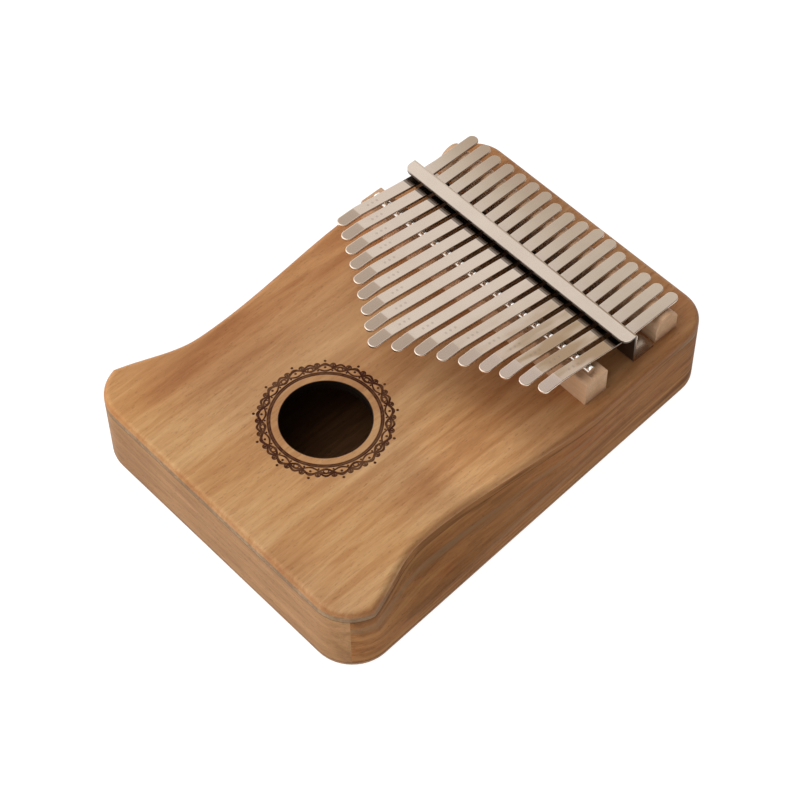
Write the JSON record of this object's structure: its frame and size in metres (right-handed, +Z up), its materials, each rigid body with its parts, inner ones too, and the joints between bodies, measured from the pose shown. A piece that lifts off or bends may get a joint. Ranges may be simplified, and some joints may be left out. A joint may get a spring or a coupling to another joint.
{
  "type": "thumb piano",
  "caption": "Hollow wooden thumb piano with flat steel tines clamped over wooden bridges, a round sound hole and palm scoops along its sides.",
  "frame": {"origin": "middle of the flat underside", "axes": "+Z up out of the soundboard, +Y towards the rear end where the tines are held, +X to the right as seen with the tine tips towards the viewer"},
  "size_m": [0.1376, 0.185, 0.0578],
  "materials": {
    "face_wood": "satin oiled",
    "core_wood": "bare",
    "frame_wood": "satin oiled",
    "bridge_wood": "smooth bare",
    "steel": "polished",
    "tine_steel": "polished",
    "black_steel": "black oxide"
  },
  "bodies": {
    "sound_box": {"soundboard_face": "face_wood", "soundboard_core": "core_wood", "front_end_board": "frame_wood", "rear_end_board": "frame_wood", "left_side_board": "frame_wood", "right_side_board": "frame_wood", "back_plate": "face_wood", "inner_brace": "core_wood", "front_bridge": "bridge_wood", "saddle_rod": "steel", "rear_bridge": "bridge_wood", "pressure_bracket": "steel", "bracket_screws": "black_steel"},
    "tine_01": {"tine_01_tail": "tine_steel"},
    "tine_01_tip": {"tine_01_blade": "tine_steel"},
    "tine_02": {"tine_02_tail": "tine_steel"},
    "tine_02_tip": {"tine_02_blade": "tine_steel"},
    "tine_03": {"tine_03_tail": "tine_steel"},
    "tine_03_tip": {"tine_03_blade": "tine_steel"},
    "tine_04": {"tine_04_tail": "tine_steel"},
    "tine_04_tip": {"tine_04_blade": "tine_steel"},
    "tine_05": {"tine_05_tail": "tine_steel"},
    "tine_05_tip": {"tine_05_blade": "tine_steel"},
    "tine_06": {"tine_06_tail": "tine_steel"},
    "tine_06_tip": {"tine_06_blade": "tine_steel"},
    "tine_07": {"tine_07_tail": "tine_steel"},
    "tine_07_tip": {"tine_07_blade": "tine_steel"},
    "tine_08": {"tine_08_tail": "tine_steel"},
    "tine_08_tip": {"tine_08_blade": "tine_steel"},
    "tine_09": {"tine_09_tail": "tine_steel"},
    "tine_09_tip": {"tine_09_blade": "tine_steel"},
    "tine_10": {"tine_10_tail": "tine_steel"},
    "tine_10_tip": {"tine_10_blade": "tine_steel"},
    "tine_11": {"tine_11_tail": "tine_steel"},
    "tine_11_tip": {"tine_11_blade": "tine_steel"},
    "tine_12": {"tine_12_tail": "tine_steel"},
    "tine_12_tip": {"tine_12_blade": "tine_steel"},
    "tine_13": {"tine_13_tail": "tine_steel"},
    "tine_13_tip": {"tine_13_blade": "tine_steel"},
    "tine_14": {"tine_14_tail": "tine_steel"},
    "tine_14_tip": {"tine_14_blade": "tine_steel"},
    "tine_15": {"tine_15_tail": "tine_steel"},
    "tine_15_tip": {"tine_15_blade": "tine_steel"},
    "tine_16": {"tine_16_tail": "tine_steel"},
    "tine_16_tip": {"tine_16_blade": "tine_steel"},
    "tine_17": {"tine_17_tail": "tine_steel"},
    "tine_17_tip": {"tine_17_blade": "tine_steel"}
  },
  "joints": [
    {"name": "tine_01_tuning", "type": "slide", "parent": "sound_box", "child": "tine_01", "axis": [0, -0.9964, 0.0851], "range_m": [-0.0015, 0.0015]},
    {"name": "tine_01_flex", "type": "hinge", "parent": "tine_01", "child": "tine_01_tip", "pos_m": [-0.0512, 0.03522, 0.04936], "axis": [1, 0, 0], "range_deg": [-2.5, 3.5], "stiffness_Nm_per_rad": 14.3},
    {"name": "tine_02_tuning", "type": "slide", "parent": "sound_box", "child": "tine_02", "axis": [0, -0.9964, 0.0851], "range_m": [-0.0015, 0.0015]},
    {"name": "tine_02_flex", "type": "hinge", "parent": "tine_02", "child": "tine_02_tip", "pos_m": [-0.0448, 0.03522, 0.04936], "axis": [1, 0, 0], "range_deg": [-2.5, 3.5], "stiffness_Nm_per_rad": 12.24},
    {"name": "tine_03_tuning", "type": "slide", "parent": "sound_box", "child": "tine_03", "axis": [0, -0.9964, 0.0851], "range_m": [-0.0015, 0.0015]},
    {"name": "tine_03_flex", "type": "hinge", "parent": "tine_03", "child": "tine_03_tip", "pos_m": [-0.0384, 0.03522, 0.04936], "axis": [1, 0, 0], "range_deg": [-2.5, 3.5], "stiffness_Nm_per_rad": 10.67},
    {"name": "tine_04_tuning", "type": "slide", "parent": "sound_box", "child": "tine_04", "axis": [0, -0.9964, 0.0851], "range_m": [-0.0015, 0.0015]},
    {"name": "tine_04_flex", "type": "hinge", "parent": "tine_04", "child": "tine_04_tip", "pos_m": [-0.032, 0.03522, 0.04936], "axis": [1, 0, 0], "range_deg": [-2.5, 3.5], "stiffness_Nm_per_rad": 9.43},
    {"name": "tine_05_tuning", "type": "slide", "parent": "sound_box", "child": "tine_05", "axis": [0, -0.9964, 0.0851], "range_m": [-0.0015, 0.0015]},
    {"name": "tine_05_flex", "type": "hinge", "parent": "tine_05", "child": "tine_05_tip", "pos_m": [-0.0256, 0.03522, 0.04936], "axis": [1, 0, 0], "range_deg": [-2.5, 3.5], "stiffness_Nm_per_rad": 8.43},
    {"name": "tine_06_tuning", "type": "slide", "parent": "sound_box", "child": "tine_06", "axis": [0, -0.9964, 0.0851], "range_m": [-0.0015, 0.0015]},
    {"name": "tine_06_flex", "type": "hinge", "parent": "tine_06", "child": "tine_06_tip", "pos_m": [-0.0192, 0.03522, 0.04936], "axis": [1, 0, 0], "range_deg": [-2.5, 3.5], "stiffness_Nm_per_rad": 7.6},
    {"name": "tine_07_tuning", "type": "slide", "parent": "sound_box", "child": "tine_07", "axis": [0, -0.9964, 0.0851], "range_m": [-0.0015, 0.0015]},
    {"name": "tine_07_flex", "type": "hinge", "parent": "tine_07", "child": "tine_07_tip", "pos_m": [-0.0128, 0.03522, 0.04936], "axis": [1, 0, 0], "range_deg": [-2.5, 3.5], "stiffness_Nm_per_rad": 6.91},
    {"name": "tine_08_tuning", "type": "slide", "parent": "sound_box", "child": "tine_08", "axis": [0, -0.9964, 0.0851], "range_m": [-0.0015, 0.0015]},
    {"name": "tine_08_flex", "type": "hinge", "parent": "tine_08", "child": "tine_08_tip", "pos_m": [-0.0064, 0.03522, 0.04936], "axis": [1, 0, 0], "range_deg": [-2.5, 3.5], "stiffness_Nm_per_rad": 6.32},
    {"name": "tine_09_tuning", "type": "slide", "parent": "sound_box", "child": "tine_09", "axis": [0, -0.9964, 0.0851], "range_m": [-0.0015, 0.0015]},
    {"name": "tine_09_flex", "type": "hinge", "parent": "tine_09", "child": "tine_09_tip", "pos_m": [0, 0.03522, 0.04936], "axis": [1, 0, 0], "range_deg": [-2.5, 3.5], "stiffness_Nm_per_rad": 5.81},
    {"name": "tine_10_tuning", "type": "slide", "parent": "sound_box", "child": "tine_10", "axis": [0, -0.9964, 0.0851], "range_m": [-0.0015, 0.0015]},
    {"name": "tine_10_flex", "type": "hinge", "parent": "tine_10", "child": "tine_10_tip", "pos_m": [0.0064, 0.03522, 0.04936], "axis": [1, 0, 0], "range_deg": [-2.5, 3.5], "stiffness_Nm_per_rad": 6.43},
    {"name": "tine_11_tuning", "type": "slide", "parent": "sound_box", "child": "tine_11", "axis": [0, -0.9964, 0.0851], "range_m": [-0.0015, 0.0015]},
    {"name": "tine_11_flex", "type": "hinge", "parent": "tine_11", "child": "tine_11_tip", "pos_m": [0.0128, 0.03522, 0.04936], "axis": [1, 0, 0], "range_deg": [-2.5, 3.5], "stiffness_Nm_per_rad": 7.13},
    {"name": "tine_12_tuning", "type": "slide", "parent": "sound_box", "child": "tine_12", "axis": [0, -0.9964, 0.0851], "range_m": [-0.0015, 0.0015]},
    {"name": "tine_12_flex", "type": "hinge", "parent": "tine_12", "child": "tine_12_tip", "pos_m": [0.0192, 0.03522, 0.04936], "axis": [1, 0, 0], "range_deg": [-2.5, 3.5], "stiffness_Nm_per_rad": 7.94},
    {"name": "tine_13_tuning", "type": "slide", "parent": "sound_box", "child": "tine_13", "axis": [0, -0.9964, 0.0851], "range_m": [-0.0015, 0.0015]},
    {"name": "tine_13_flex", "type": "hinge", "parent": "tine_13", "child": "tine_13_tip", "pos_m": [0.0256, 0.03522, 0.04936], "axis": [1, 0, 0], "range_deg": [-2.5, 3.5], "stiffness_Nm_per_rad": 8.88},
    {"name": "tine_14_tuning", "type": "slide", "parent": "sound_box", "child": "tine_14", "axis": [0, -0.9964, 0.0851], "range_m": [-0.0015, 0.0015]},
    {"name": "tine_14_flex", "type": "hinge", "parent": "tine_14", "child": "tine_14_tip", "pos_m": [0.032, 0.03522, 0.04936], "axis": [1, 0, 0], "range_deg": [-2.5, 3.5], "stiffness_Nm_per_rad": 9.95},
    {"name": "tine_15_tuning", "type": "slide", "parent": "sound_box", "child": "tine_15", "axis": [0, -0.9964, 0.0851], "range_m": [-0.0015, 0.0015]},
    {"name": "tine_15_flex", "type": "hinge", "parent": "tine_15", "child": "tine_15_tip", "pos_m": [0.0384, 0.03522, 0.04936], "axis": [1, 0, 0], "range_deg": [-2.5, 3.5], "stiffness_Nm_per_rad": 11.19},
    {"name": "tine_16_tuning", "type": "slide", "parent": "sound_box", "child": "tine_16", "axis": [0, -0.9964, 0.0851], "range_m": [-0.0015, 0.0015]},
    {"name": "tine_16_flex", "type": "hinge", "parent": "tine_16", "child": "tine_16_tip", "pos_m": [0.0448, 0.03522, 0.04936], "axis": [1, 0, 0], "range_deg": [-2.5, 3.5], "stiffness_Nm_per_rad": 12.62},
    {"name": "tine_17_tuning", "type": "slide", "parent": "sound_box", "child": "tine_17", "axis": [0, -0.9964, 0.0851], "range_m": [-0.0015, 0.0015]},
    {"name": "tine_17_flex", "type": "hinge", "parent": "tine_17", "child": "tine_17_tip", "pos_m": [0.0512, 0.03522, 0.04936], "axis": [1, 0, 0], "range_deg": [-2.5, 3.5], "stiffness_Nm_per_rad": 14.24}
  ]
}
